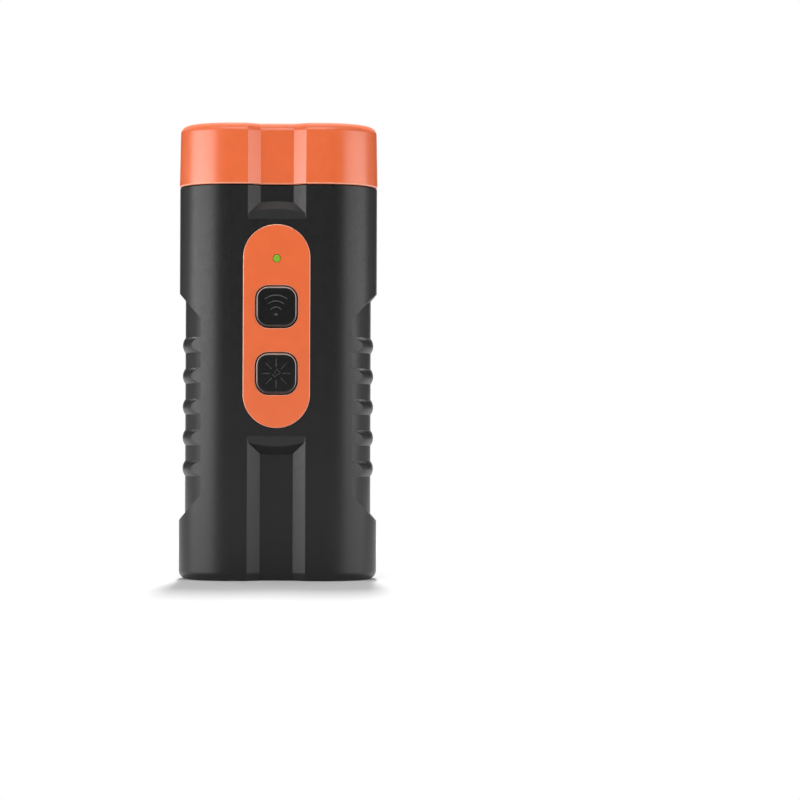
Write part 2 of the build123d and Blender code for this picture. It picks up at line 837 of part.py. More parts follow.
def strip(bottom_z):
    """A flat strip across both cells, with a tab that reaches the main board."""
    cell_x, cell_y = cell_place()
    reach = cell_x + cell_nub / 2
    bar = block(-reach, reach, cell_y - strip_width / 2, cell_y + strip_width / 2,
                bottom_z, bottom_z + strip_thickness)
    tab = block(-strip_tab / 2, strip_tab / 2, board_back_y, cell_y, bottom_z,
                bottom_z + strip_thickness)
    return bar + tab


# ---- Emitters ----
def emitter_can(side):
    ring = Circle(emitter_diameter / 2) - Circle(emitter_diameter / 2 - emitter_wall)
    return Pos(side * emitter_x, 0, emitter_z) * extrude(ring, emitter_height)


def emitter_grille(side):
    """A round plate with a honeycomb of six-sided holes."""
    radius = emitter_diameter / 2 - emitter_wall
    hole = RegularPolygon((grille_pitch - grille_bar) / 2, 6, major_radius=False)
    rim = radius - grille_pitch * 0.8
    rows = int(radius / grille_pitch) + 2
    holes = []
    for row in range(-rows, rows + 1):
        for place in range(-rows, rows + 1):
            x = (place + row / 2) * grille_pitch
            y = row * grille_pitch * sqrt(3) / 2
            if sqrt(x**2 + y**2) < rim:
                holes.append(Pos(x, y) * Rot(Z=30) * hole)
    plate = extrude(Circle(radius) - holes, grille_thickness)
    return Pos(side * emitter_x, 0, emitter_z + emitter_height - grille_thickness) * plate


def emitter_base(side):
    """The base disc with a round pedestal and two pins through the head board."""
    radius = emitter_diameter / 2 - emitter_wall
    inner = disc_diameter / 2 - pedestal_wall
    top = emitter_base_thickness + pedestal_height
    base = turned(((0, 0), (radius, 0), (radius, emitter_base_thickness),
                   (disc_diameter / 2, emitter_base_thickness), (disc_diameter / 2, top),
                   (inner, top), (inner, emitter_base_thickness), (0, emitter_base_thickness)),
                  side * emitter_x, 0, emitter_z)
    for pin in SIDES:
        base += rod_z(emitter_pin, shelf_z - solder_length, emitter_z + emitter_base_thickness / 2,
                      side * emitter_x, pin * emitter_pin_spacing / 2)
    return base


disc_z = emitter_z + emitter_base_thickness + pedestal_height


def emitter_disc(side):
    return rod_z(disc_diameter, disc_z, disc_z + disc_thickness, side * emitter_x)


def emitter_horn(side):
    """The light metal cone on the driver disc."""
    low = horn_throat / 2
    high = horn_mouth / 2
    return turned(((0, 0), (low, 0), (high, horn_height), (high - horn_wall, horn_height),
                   (low, 2 * horn_wall), (0, 2 * horn_wall)),
                  side * emitter_x, 0, disc_z + disc_thickness)


def emitter_foam(side):
    top = emitter_z + emitter_height
    ring = Circle(emitter_diameter / 2) - Circle(emitter_opening / 2)
    return Pos(side * emitter_x, 0, top) * extrude(ring, foam_thickness)


# ---- Torch ----
torch_z = body_length - torch_setback - torch_height


def torch_led():
    """A clear round lamp with a flange and a domed end."""
    radius = torch_diameter / 2
    stem = rod_z(torch_diameter, torch_z, torch_z + torch_height - radius)
    flange = rod_z(torch_diameter + 2 * torch_flange, torch_z, torch_z + torch_flange_height)
    dome = Pos(0, 0, torch_z + torch_height - radius) * Sphere(radius)
    return stem + flange + dome


def torch_led_legs():
    half = torch_leg / 2
    legs = []
    for side in SIDES:
        x = side * torch_leg_spacing / 2
        legs.append(block(x - half, x + half, -half, half, shelf_z - solder_length, torch_z))
    return Compound(legs)


# ---- Write every piece ----
def pieces():
    case = case_blank()
    made = {
        "front_shell": front_shell(case),
        "rear_shell": rear_shell(case),
        "head_cap": head_cap(),
        "control_panel": control_panel(),
        "indicator_lens": indicator_lens(),
        "shell_screws": shell_screws(),
        "board_screws": board_screws(),
        "main_board": main_board(),
        "head_board": head_board(),
        "head_header": head_header(),
        "header_pins": header_pin_set(),
        "driver_chip": chip(*driver_place),
        "charger_chip": chip(*charger_place),
        "chip_pins": chip_pins(),
        "small_parts": small_parts(),
        "coil_core": coil_core(),
        "coil_winding": coil_winding(),
        "capacitor": capacitor(),
        "indicator_led": indicator_led(),
        "socket_shell": socket_shell(),
        "socket_tongue": socket_tongue(),
        "torch_led": torch_led(),
        "torch_led_legs": torch_led_legs(),
        "top_strip": strip(cell_z + cell_length / 2),
        "bottom_strip": strip(cell_z - cell_length / 2 - strip_thickness),
    }
    for name, z in zip(("torch", "emitter"), key_rows):
        made[name + "_key"] = key(z)
        made[name + "_switch_base"] = switch_base(z)
        made[name + "_switch_cover"] = switch_cover_plate(z)
        made[name + "_switch_plunger"] = switch_plunger(z)
        made[name + "_switch_terminals"] = switch_terminals(z)
    for side in SIDES:
        end = "_" + SIDE_NAMES[side]
        made["cell" + end] = cell(side)
        made["emitter_can" + end] = emitter_can(side)
        made["emitter_grille" + end] = emitter_grille(side)
        made["emitter_base" + end] = emitter_base(side)
        made["emitter_disc" + end] = emitter_disc(side)
        made["emitter_horn" + end] = emitter_horn(side)
        made["emitter_foam" + end] = emitter_foam(side)
    return made


os.makedirs("parts", exist_ok=True)
for name, piece in pieces().items():
    export_step(piece, "parts/" + name + ".step")
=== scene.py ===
# %% [markdown]
# # Dressing a two-barrel pocket deterrent
# The solid model of the part is already finished: a black case in two halves, an orange cap, an
# orange control panel with two keys, and everything that sits inside. This lesson loads it as a
# fixed frame, gives every part a finish built from nodes, and models the small things that a solid
# model leaves out: the raised signs on the keys, the inside of the lamp, and the contacts of the
# charging socket.

# %% Load the frame
import json
import math

import bmesh
import bpy
from mathutils import Matrix, Vector


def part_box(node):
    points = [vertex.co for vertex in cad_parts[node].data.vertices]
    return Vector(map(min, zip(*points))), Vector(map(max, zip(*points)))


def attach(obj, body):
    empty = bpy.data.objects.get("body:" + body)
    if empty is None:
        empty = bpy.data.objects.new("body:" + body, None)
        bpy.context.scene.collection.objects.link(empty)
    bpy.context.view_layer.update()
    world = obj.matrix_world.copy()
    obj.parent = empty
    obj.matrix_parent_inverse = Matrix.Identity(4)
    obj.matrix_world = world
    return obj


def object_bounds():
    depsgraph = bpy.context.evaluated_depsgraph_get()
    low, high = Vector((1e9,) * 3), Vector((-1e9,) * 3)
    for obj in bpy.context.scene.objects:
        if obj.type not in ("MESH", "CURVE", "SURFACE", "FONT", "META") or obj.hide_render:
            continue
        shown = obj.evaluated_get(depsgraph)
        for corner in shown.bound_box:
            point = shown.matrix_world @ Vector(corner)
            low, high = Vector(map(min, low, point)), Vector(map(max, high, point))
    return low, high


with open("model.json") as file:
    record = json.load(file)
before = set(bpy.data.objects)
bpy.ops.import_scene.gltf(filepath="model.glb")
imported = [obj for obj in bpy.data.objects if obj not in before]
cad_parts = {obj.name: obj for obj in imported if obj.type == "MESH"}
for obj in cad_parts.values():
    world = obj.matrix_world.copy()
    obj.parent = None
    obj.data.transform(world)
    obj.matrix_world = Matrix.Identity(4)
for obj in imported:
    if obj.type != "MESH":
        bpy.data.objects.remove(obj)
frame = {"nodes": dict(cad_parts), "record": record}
cad_low, cad_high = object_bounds()
bpy.ops.object.select_all(action="DESELECT")

# %% [markdown]
# ## Units
# Blender works in metres here, and the part is 110 mm tall, so sizes are written in millimetres
# and multiplied by MM. Blender's own limits for merging points are far too coarse for this size,
# so every step that merges or cuts is given MERGE.

# %% Units
MM = 0.001
MERGE = 1e-7
size = (cad_high - cad_low) / MM
print("the part is %.1f x %.1f x %.1f mm" % tuple(size))

# %% [markdown]
# ## Camera
# The part is seen from straight in front and a little below its middle, from far enough away that
# the two barrels keep the same width from foot to cap. A long lens gives that flat, catalogue-like
# view. The camera stands a little to the right of the part and aims further to the right, so that
# the part keeps to the left of the frame.

# %% Camera
CAMERA_ASIDE = 22.0 * MM
CAMERA_BACK = 660 * MM
CAMERA_HEIGHT = 36.0 * MM
AIM_ASIDE = 29.75 * MM
AIM_HEIGHT = 43.6 * MM
CAMERA_ROLL = math.radians(0.17)
LENS = 121.7

camera_data = bpy.data.cameras.new("camera")
camera_data.lens = LENS
camera_data.sensor_width = 36.0
camera = bpy.data.objects.new("camera", camera_data)
bpy.context.scene.collection.objects.link(camera)
camera.location = (CAMERA_ASIDE, -CAMERA_BACK, CAMERA_HEIGHT)
aim = Vector((AIM_ASIDE, 0, AIM_HEIGHT)) - camera.location
straight = aim.to_track_quat("-Z", "Y").to_matrix()
camera.rotation_euler = (straight @ Matrix.Rotation(CAMERA_ROLL, 3, "Z")).to_euler()
bpy.context.scene.camera = camera
bpy.context.scene.view_settings.view_transform = "Standard"
tip = math.degrees(math.atan2(AIM_HEIGHT - CAMERA_HEIGHT, CAMERA_BACK))
print("camera %.0f mm away, aimed %.2f degrees up" % (CAMERA_BACK / MM, tip))

# %% [markdown]
# ## Choosing faces and edges in code
# Working by hand, a face is clicked. In code it is chosen by where it is, so one helper selects
# what passes a test in edit mode, and the next operator acts on that. A face looks along an axis
# when that part of its normal is above FACING.

# %% Helpers for edit mode
FACING = 0.9


def edit(piece):
    """Makes a piece the only active one, and enters edit mode with nothing selected."""
    bpy.ops.object.select_all(action="DESELECT")
    piece.select_set(True)
    bpy.context.view_layer.objects.active = piece
    bpy.ops.object.mode_set(mode="EDIT")
    bpy.ops.mesh.select_all(action="DESELECT")


def leave():
    """Goes back to object mode with nothing selected."""
    bpy.ops.object.mode_set(mode="OBJECT")
    bpy.ops.object.select_all(action="DESELECT")


def pick_faces(piece, test):
    """Selects only the faces whose middle passes the test."""
    bpy.ops.mesh.select_mode(type="FACE")
    bpy.ops.mesh.select_all(action="DESELECT")
    mesh = bmesh.from_edit_mesh(piece.data)
    for face in mesh.faces:
        if test(face.calc_center_median(), face.normal):
            face.select_set(True)
    bmesh.update_edit_mesh(piece.data)


def pick_edges(piece, test):
    """Selects only the edges whose two ends both pass the test."""
    bpy.ops.mesh.select_mode(type="EDGE")
    bpy.ops.mesh.select_all(action="DESELECT")
    mesh = bmesh.from_edit_mesh(piece.data)
    for edge in mesh.edges:
        if all(test(vertex.co) for vertex in edge.verts):
            edge.select_set(True)
    bmesh.update_edit_mesh(piece.data)


print("helpers ready")

# %% [markdown]
# ## Finishing a piece
# Every new piece ends the same way: its place goes into its mesh, so that its object is at the
# origin like the parts of the frame, its normals point outwards, and it is shaded smooth with the
# real corners left sharp.

# %% Helpers for whole pieces
SMOOTH_BELOW = math.radians(35)
BEVEL_ABOVE = math.radians(40)


def named(name):
    """Names the piece that was just added, with its place already in its mesh."""
    piece = bpy.context.active_object
    piece.name = name
    piece.data.name = name
    bpy.ops.object.transform_apply(location=True, rotation=True, scale=True)
    return piece


def add_block(name, middle, sides):
    """Adds a block of these sides, in metres, with its place in its mesh."""
    bpy.ops.mesh.primitive_cube_add(size=1, location=middle)
    bpy.context.active_object.scale = sides
    return named(name)


def bevel_all(piece, width, segments=2):
    """Rounds every sharp edge of a piece with a bevel modifier, and applies it."""
    bpy.context.view_layer.objects.active = piece
    bevel = piece.modifiers.new("edge round", "BEVEL")
    bevel.width = width
    bevel.segments = segments
    bevel.limit_method = "ANGLE"
    bevel.angle_limit = BEVEL_ABOVE
    bpy.ops.object.modifier_apply(modifier=bevel.name)


def copy_of(piece, name):
    """Copies a piece with its own mesh."""
    twin = piece.copy()
    twin.data = piece.data.copy()
    twin.name = name
    bpy.context.scene.collection.objects.link(twin)
    return twin


def joined(pieces, name):
    """Joins several pieces into one."""
    bpy.ops.object.select_all(action="DESELECT")
    for piece in pieces:
        piece.select_set(True)
    bpy.context.view_layer.objects.active = pieces[0]
    bpy.ops.object.join()
    whole = bpy.context.active_object
    whole.name = name
    whole.data.name = name
    return whole


def finished(piece):
    """Turns a piece's faces outwards and shades it smooth up to its real corners."""
    edit(piece)
    bpy.ops.mesh.select_all(action="SELECT")
    bpy.ops.mesh.remove_doubles(threshold=MERGE)
    bpy.ops.mesh.normals_make_consistent(inside=False)
    leave()
    piece.select_set(True)
    bpy.context.view_layer.objects.active = piece
    bpy.ops.object.shade_smooth_by_angle(angle=SMOOTH_BELOW)
    bpy.ops.object.select_all(action="DESELECT")
    print(piece.name, "has", len(piece.data.polygons), "faces")
    return piece


# %% [markdown]
# ## The sign on the upper key
# The upper key starts the sound. Its sign is moulded into the key: three arcs and a small dot below
# them, each a raised round line about a third of a millimetre wide. A ring can give an arc: a torus
# is laid against the key, two cuts through its middle keep one sector, and a third cut just behind
# the key's face takes away what would lie deeper in the key.

# %% Wave sign
emitter_key_low, emitter_key_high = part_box("emitter_key")
key_face = emitter_key_low.y
SIGN_RISE = 0.14 * MM
SIGN_LINE = 0.17 * MM
SIGN_BURIED = 0.04 * MM
WAVE_ASIDE = -0.1 * MM
WAVE_DROP = 1.9 * MM
WAVE_ARCS = ((1.75, 50), (3.2, 39), (4.6, 36))
RING_SEGMENTS = 120
LINE_SEGMENTS = 12
line_y = key_face - SIGN_RISE + SIGN_LINE


def key_middle(low, high):
    """The middle of a key's face."""
    return Vector(((low.x + high.x) / 2, low.y, (low.z + high.z) / 2))


def cut(point, normal):
    """Cuts the edited piece with a plane, and removes the side that the normal points to."""
    bpy.ops.mesh.select_all(action="SELECT")
    bpy.ops.mesh.bisect(plane_co=point, plane_no=normal, use_fill=True, clear_outer=True,
                        threshold=MERGE)


def bury(piece):
    """Cuts off a sign's back just behind the key's face."""
    edit(piece)
    cut((0, key_face + SIGN_BURIED, 0), (0, 1, 0))
    leave()


def wave_arc(middle, radius, half_angle):
    """A raised arc of this radius about the sign's dot."""
    bpy.ops.mesh.primitive_torus_add(location=middle, rotation=(math.pi / 2, 0, 0),
                                     major_segments=RING_SEGMENTS, minor_segments=LINE_SEGMENTS,
                                     major_radius=radius, minor_radius=SIGN_LINE)
    arc = named("wave_arc")
    edit(arc)
    lean = math.radians(half_angle)
    for side in (1, -1):
        cut(middle, (side * math.cos(lean), 0, -math.sin(lean)))
    leave()
    bury(arc)
    return arc


wave_middle = key_middle(emitter_key_low, emitter_key_high) + Vector((WAVE_ASIDE, 0, -WAVE_DROP))
wave_middle.y = line_y
wave_parts = [wave_arc(wave_middle, radius * MM, angle) for radius, angle in WAVE_ARCS]
print("arcs", [len(arc.data.polygons) for arc in wave_parts])

# %% [markdown]
# The dot is a wide bead. A sphere is stretched in edit mode, mostly sideways, then cut just behind
# the key's face like the arcs.

# %% Wave sign's dot
DOT_WIDTH = 1.1 * MM
DOT_HEIGHT = 0.6 * MM
bpy.ops.mesh.primitive_uv_sphere_add(segments=24, ring_count=12, radius=SIGN_LINE,
                                     location=wave_middle)
wave_dot = named("wave_dot")
edit(wave_dot)
bpy.ops.mesh.select_all(action="SELECT")
bpy.ops.transform.resize(value=(DOT_WIDTH / 2 / SIGN_LINE, 1, DOT_HEIGHT / 2 / SIGN_LINE),
                         center_override=wave_middle)
leave()
bury(wave_dot)
wave_sign = finished(joined(wave_parts + [wave_dot], "wave_sign"))
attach(wave_sign, "emitter_key")

# %% [markdown]
# ## The sign on the lower key
# The lower key lights the torch. Its sign is a small slanted torch with eight rays round it. One
# ray is modelled: a bar with its far end drawn in and its front edges rounded. The others are
# copies turned about the sign's middle.

# %% Rays of the lamp sign
torch_key_low, torch_key_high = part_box("torch_key")
lamp_middle = key_middle(torch_key_low, torch_key_high)
RAY_NEAR = 1.55 * MM
RAY_FAR = 3.5 * MM
RAY_WIDTH = 0.34 * MM
RAY_TIP = 0.6
RAY_ROUND = 0.4
RAY_COUNT = 8
SIGN_DEPTH = SIGN_RISE + SIGN_BURIED


def sign_bar(name, middle, length, width):
    """A raised bar along Z on a key's face, thinner towards its upper end."""
    centre = middle + Vector((0, -SIGN_RISE + SIGN_DEPTH / 2, 0))
    bar = add_block(name, centre, (width, SIGN_DEPTH, length))
    edit(bar)
    pick_faces(bar, lambda place, normal: normal.z > FACING)
    bpy.ops.transform.resize(value=(RAY_TIP, 1, 1))
    pick_edges(bar, lambda place: place.y < key_face)
    bpy.ops.mesh.bevel(offset=width * RAY_ROUND, segments=4, clamp_overlap=True)
    leave()
    return bar


def turned(piece, angle, middle):
    """Turns a piece about a point on the key's face and puts the turn into its mesh."""
    piece.data.transform(Matrix.Translation(middle) @ Matrix.Rotation(angle, 4, "Y")
                         @ Matrix.Translation(-middle))
    return piece


ray_middle = lamp_middle + Vector((0, 0, (RAY_NEAR + RAY_FAR) / 2))
first_ray = sign_bar("ray", ray_middle, RAY_FAR - RAY_NEAR, RAY_WIDTH)
rays = [first_ray]
for step in range(1, RAY_COUNT):
    rays.append(turned(copy_of(first_ray, "ray"), step * math.tau / RAY_COUNT, lamp_middle))
print(len(rays), "rays")

# %% [markdown]
# The small torch between the rays is an outline. A plate is divided, widened at one end for the
# torch's head, and inset. Its middle is taken out, and the rim that stays is moved just behind the
# key's face and drawn forwards.

# %% Torch of the lamp sign
MARK_LENGTH = 1.9 * MM
MARK_WIDTH = 0.8 * MM
MARK_HEAD = 1.7
MARK_NECK = 0.1
MARK_LINE = 0.2 * MM
MARK_ROUND = 0.06 * MM
MARK_LEAN = math.radians(45)
bpy.ops.mesh.primitive_plane_add(size=1, location=lamp_middle, rotation=(math.pi / 2, 0, 0))
bpy.context.active_object.scale = (MARK_WIDTH, MARK_LENGTH, 1)
mark = named("torch_mark")
edit(mark)
bpy.ops.mesh.select_all(action="SELECT")
bpy.ops.mesh.subdivide(number_cuts=2)
pick_edges(mark, lambda place: place.z > lamp_middle.z + MARK_LENGTH * MARK_NECK)
bpy.ops.transform.resize(value=(MARK_HEAD, 1, 1), center_override=lamp_middle)
bpy.ops.mesh.select_mode(type="FACE")
bpy.ops.mesh.select_all(action="SELECT")
bpy.ops.mesh.inset(thickness=MARK_LINE, depth=0)
bpy.ops.mesh.delete(type="FACE")
bpy.ops.mesh.select_all(action="SELECT")
bpy.ops.transform.translate(value=(0, SIGN_DEPTH - SIGN_RISE, 0))
bpy.ops.mesh.extrude_region_move(TRANSFORM_OT_translate={"value": (0, -SIGN_DEPTH, 0)})
leave()
bevel_all(mark, MARK_ROUND)
turned(mark, MARK_LEAN, lamp_middle)
lamp_sign = finished(joined(rays + [mark], "lamp_sign"))
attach(lamp_sign, "torch_key")

# %% [markdown]
# ## Inside the lamp
# Under the clear dome of a round lamp stand two bent legs of plated steel. One ends in a small cup
# that throws the light forwards, the other in a post, and a hair-thin wire joins them. The cup is a
# cylinder whose top face is inset and pushed down into a cone.

# %% Lamp's cup and posts
lamp_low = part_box("torch_led")[0]
CUP_RADIUS = 0.95 * MM
CUP_HEIGHT = 0.9 * MM
CUP_RIM = 0.14 * MM
CUP_FLOOR = 0.55
CUP_DEPTH = 0.6 * MM
CUP_MIDDLE = 3.6 * MM
CUP_ASIDE = 0.25 * MM
CUP_TAIL = 0.3 * MM
POST_SIDE = 0.45 * MM
POST_GAP = 1.27 * MM
POST_START = 0.2 * MM
POST_NECK = 0.3 * MM
POST_HEAD = 0.4 * MM
POST_ROUND = 0.05 * MM
CUP_POST_BELOW = 0.9 * MM
CUP_POST_HEAD = 1.0
WIRE_POST_BELOW = 0.2 * MM
WIRE_POST_HEAD = 1.6
cup_middle = Vector((-CUP_ASIDE, 0, lamp_low.z + CUP_MIDDLE))
bpy.ops.mesh.primitive_cylinder_add(vertices=40, radius=CUP_RADIUS, depth=CUP_HEIGHT,
                                    location=cup_middle)
cup = named("lamp_frame")
edit(cup)
pick_faces(cup, lambda place, normal: normal.z > FACING)
bpy.ops.mesh.inset(thickness=CUP_RIM)
bpy.ops.mesh.extrude_region_move(TRANSFORM_OT_translate={"value": (0, 0, -CUP_DEPTH)})
bpy.ops.transform.resize(value=(CUP_FLOOR, CUP_FLOOR, 1))
pick_faces(cup, lambda place, normal: normal.z < -FACING)
bpy.ops.mesh.extrude_region_move(TRANSFORM_OT_translate={"value": (0, 0, -CUP_TAIL)})
bpy.ops.transform.resize(value=(CUP_FLOOR, CUP_FLOOR, 1))
leave()


def lamp_post(middle_x, top, head):
    """A square post from the lamp's base up to this height, with a wider head."""
    foot = lamp_low.z + POST_START
    post = add_block("lamp_post", (middle_x, 0, (foot + top) / 2),
                     (POST_SIDE, POST_SIDE, top - foot))
    edit(post)
    pick_faces(post, lambda place, normal: normal.z > FACING)
    bpy.ops.mesh.extrude_region_move(TRANSFORM_OT_translate={"value": (0, 0, POST_NECK)})
    bpy.ops.transform.resize(value=(head, 1, 1))
    bpy.ops.mesh.extrude_region_move(TRANSFORM_OT_translate={"value": (0, 0, POST_HEAD)})
    leave()
    return post


cup_foot = cup_middle.z - CUP_HEIGHT / 2 - CUP_POST_BELOW
cup_post = lamp_post(-POST_GAP, cup_foot, CUP_POST_HEAD)
edit(cup_post)
pick_faces(cup_post, lambda place, normal: normal.z > FACING)
bpy.ops.transform.translate(value=(POST_GAP + cup_middle.x, 0, 0))
leave()
wire_post = lamp_post(POST_GAP, cup_middle.z - WIRE_POST_BELOW, WIRE_POST_HEAD)
for post in (cup_post, wire_post):
    bevel_all(post, POST_ROUND)
lamp_frame = finished(joined([cup, cup_post, wire_post], "lamp_frame"))
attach(lamp_frame, "case")

# %% [markdown]
# The light itself is a chip on the floor of the cup, under a yellow blob that turns its blue light
# white. The blob is a low bead: the upper half of a sphere, pressed flat. The wire is a curve with
# a thickness, turned into a mesh.

# %% Lamp's chip and wire
BLOB_RADIUS = 0.55 * MM
BLOB_FLAT = (0.92, 0.92, 0.6)
WIRE_RADIUS = 0.05 * MM
WIRE_START = (0.2 * MM, 0.28 * MM)
WIRE_END_RISE = 0.48 * MM
HANDLE_BEFORE = Vector((-0.3 * MM, 0, 0.5 * MM))
HANDLE_AFTER = Vector((0.1 * MM, 0, 0.9 * MM))
cup_floor = cup_middle.z + CUP_HEIGHT / 2 - CUP_DEPTH
bpy.ops.mesh.primitive_uv_sphere_add(segments=28, ring_count=14, radius=BLOB_RADIUS,
                                     location=(cup_middle.x, 0, cup_floor))
lamp_chip = named("lamp_chip")
edit(lamp_chip)
cut((cup_middle.x, 0, cup_floor), (0, 0, -1))
bpy.ops.mesh.select_all(action="SELECT")
bpy.ops.transform.resize(value=BLOB_FLAT, center_override=(cup_middle.x, 0, cup_floor))
leave()
lamp_chip = finished(lamp_chip)
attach(lamp_chip, "case")

bpy.ops.curve.primitive_bezier_curve_add(location=(0, 0, 0))
lamp_wire = bpy.context.active_object
lamp_wire.data.dimensions = "3D"
lamp_wire.data.bevel_depth = WIRE_RADIUS
lamp_wire.data.bevel_resolution = 2
lamp_wire.data.use_fill_caps = True
wire_ends = (Vector((cup_middle.x + WIRE_START[0], 0, cup_floor + WIRE_START[1])),
             Vector((POST_GAP, 0, cup_middle.z + WIRE_END_RISE)))
for point, end in zip(lamp_wire.data.splines[0].bezier_points, wire_ends):
    point.co = end
    point.handle_left_type = point.handle_right_type = "FREE"
    point.handle_left = end + HANDLE_BEFORE
    point.handle_right = end + HANDLE_AFTER
bpy.ops.object.convert(target="MESH")
lamp_wire = finished(named("lamp_wire"))
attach(lamp_wire, "case")

# %% [markdown]
# ## Contacts of the charging socket
# The tongue in the middle of the socket carries twelve flat gilded contacts on each face, half a
# millimetre apart. Each is a thin block with its edges rounded. Twenty-four small parts that never
# move apart are joined into one piece.

# %% Socket contacts
tongue_low, tongue_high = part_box("socket_tongue")
CONTACT_PITCH = 0.5 * MM
CONTACT_WIDTH = 0.27 * MM
CONTACT_LENGTH = 2.9 * MM
CONTACT_START = 0.45 * MM
CONTACT_PROUD = 0.03 * MM
CONTACT_ROUND = 0.6
CONTACT_COUNT = 12
TONGUE_HALF = 0.35 * MM
tongue_y = (tongue_low.y + tongue_high.y) / 2
contact_z = tongue_low.z + CONTACT_START + CONTACT_LENGTH / 2
contacts = []
for side in (-1, 1):
    for place in range(CONTACT_COUNT):
        contact_x = (place - (CONTACT_COUNT - 1) / 2) * CONTACT_PITCH
        contact = add_block("contact", (contact_x, tongue_y + side * TONGUE_HALF, contact_z),
                            (CONTACT_WIDTH, CONTACT_PROUD * 2, CONTACT_LENGTH))
        bevel_all(contact, CONTACT_PROUD * CONTACT_ROUND, segments=1)
        contacts.append(contact)
socket_contacts = finished(joined(contacts, "socket_contacts"))
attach(socket_contacts, "case")

# %% [markdown]
# ## A finish in three layers
# Real plastic and metal are never one flat colour. Each finish here starts from a Principled shader
# whose even values stand on its own sockets, and then gets up to three layers that read the piece's
# own place: a slight change of colour, a slight change of gloss, and fine bumps. The pattern is
# written in lumps to a millimetre, which keeps it at the right scale on every part.

# %% Helpers for finishes
FINISHES = {}
NOISE_LOW = 0.3
NOISE_HIGH = 0.7
UPRIGHT = 0.5


def new_finish(slot, colour, roughness, metallic=0.0, specular=0.5):
    """Starts a finish, with its even values set on the shader itself."""
    finish = bpy.data.materials.new(slot + "_finish")
    finish.use_nodes = True
    shader = finish.node_tree.nodes["Principled BSDF"]
    shader.inputs["Base Color"].default_value = (*colour, 1)
    shader.inputs["Roughness"].default_value = roughness
    shader.inputs["Metallic"].default_value = metallic
    shader.inputs["Specular IOR Level"].default_value = specular
    FINISHES[slot] = finish
    return finish


def place_on(finish, stretch=(1, 1, 1)):
    """The piece's own place, stretched where a pattern runs in one direction."""
    nodes = finish.node_tree.nodes
    place = nodes.new("ShaderNodeTexCoord")
    mapping = nodes.new("ShaderNodeMapping")
    mapping.inputs["Scale"].default_value = stretch
    finish.node_tree.links.new(place.outputs["Object"], mapping.inputs["Vector"])
    return mapping.outputs["Vector"]


def mottle(finish, per_mm, detail=2.0, stretch=(1, 1, 1)):
    """Cloudy noise with about this many lumps to a millimetre."""
    noise = finish.node_tree.nodes.new("ShaderNodeTexNoise")
    noise.inputs["Scale"].default_value = per_mm / MM
    noise.inputs["Detail"].default_value = detail
    finish.node_tree.links.new(place_on(finish, stretch), noise.inputs["Vector"])
    return noise.outputs["Fac"]


def pores(finish, per_mm):
    """Round cells with about this many to a millimetre."""
    cells = finish.node_tree.nodes.new("ShaderNodeTexVoronoi")
    cells.inputs["Scale"].default_value = per_mm / MM
    finish.node_tree.links.new(place_on(finish), cells.inputs["Vector"])
    return cells.outputs["Distance"]


def bands(finish, per_mm, direction, wobble=0.0):
    """Straight bands across one axis, about this many to a millimetre."""
    wave = finish.node_tree.nodes.new("ShaderNodeTexWave")
    wave.bands_direction = direction
    wave.inputs["Scale"].default_value = per_mm / MM * math.pi / 10
    wave.inputs["Distortion"].default_value = wobble
    finish.node_tree.links.new(place_on(finish), wave.inputs["Vector"])
    return wave.outputs["Fac"]


def tint(finish, pattern, dark, light, low=0.35, high=0.65):
    """Lets a pattern move the colour between two shades."""
    ramp = finish.node_tree.nodes.new("ShaderNodeValToRGB")
    ramp.color_ramp.elements[0].position = low
    ramp.color_ramp.elements[0].color = (*dark, 1)
    ramp.color_ramp.elements[1].position = high
    ramp.color_ramp.elements[1].color = (*light, 1)
    finish.node_tree.links.new(pattern, ramp.inputs["Fac"])
    shader = finish.node_tree.nodes["Principled BSDF"]
    finish.node_tree.links.new(ramp.outputs["Color"], shader.inputs["Base Color"])


def polish(finish, pattern, glossy, dull):
    """Lets a pattern move the roughness between two values."""
    spread = finish.node_tree.nodes.new("ShaderNodeMapRange")
    spread.inputs["From Min"].default_value = NOISE_LOW
    spread.inputs["From Max"].default_value = NOISE_HIGH
    spread.inputs["To Min"].default_value = glossy
    spread.inputs["To Max"].default_value = dull
    finish.node_tree.links.new(pattern, spread.inputs["Value"])
    shader = finish.node_tree.nodes["Principled BSDF"]
    finish.node_tree.links.new(spread.outputs["Result"], shader.inputs["Roughness"])


def emboss(finish, pattern, height):
    """Turns a pattern into bumps of this height, in millimetres."""
    bump = finish.node_tree.nodes.new("ShaderNodeBump")
    bump.inputs["Distance"].default_value = height * MM
    finish.node_tree.links.new(pattern, bump.inputs["Height"])
    shader = finish.node_tree.nodes["Principled BSDF"]
    finish.node_tree.links.new(bump.outputs["Normal"], shader.inputs["Normal"])


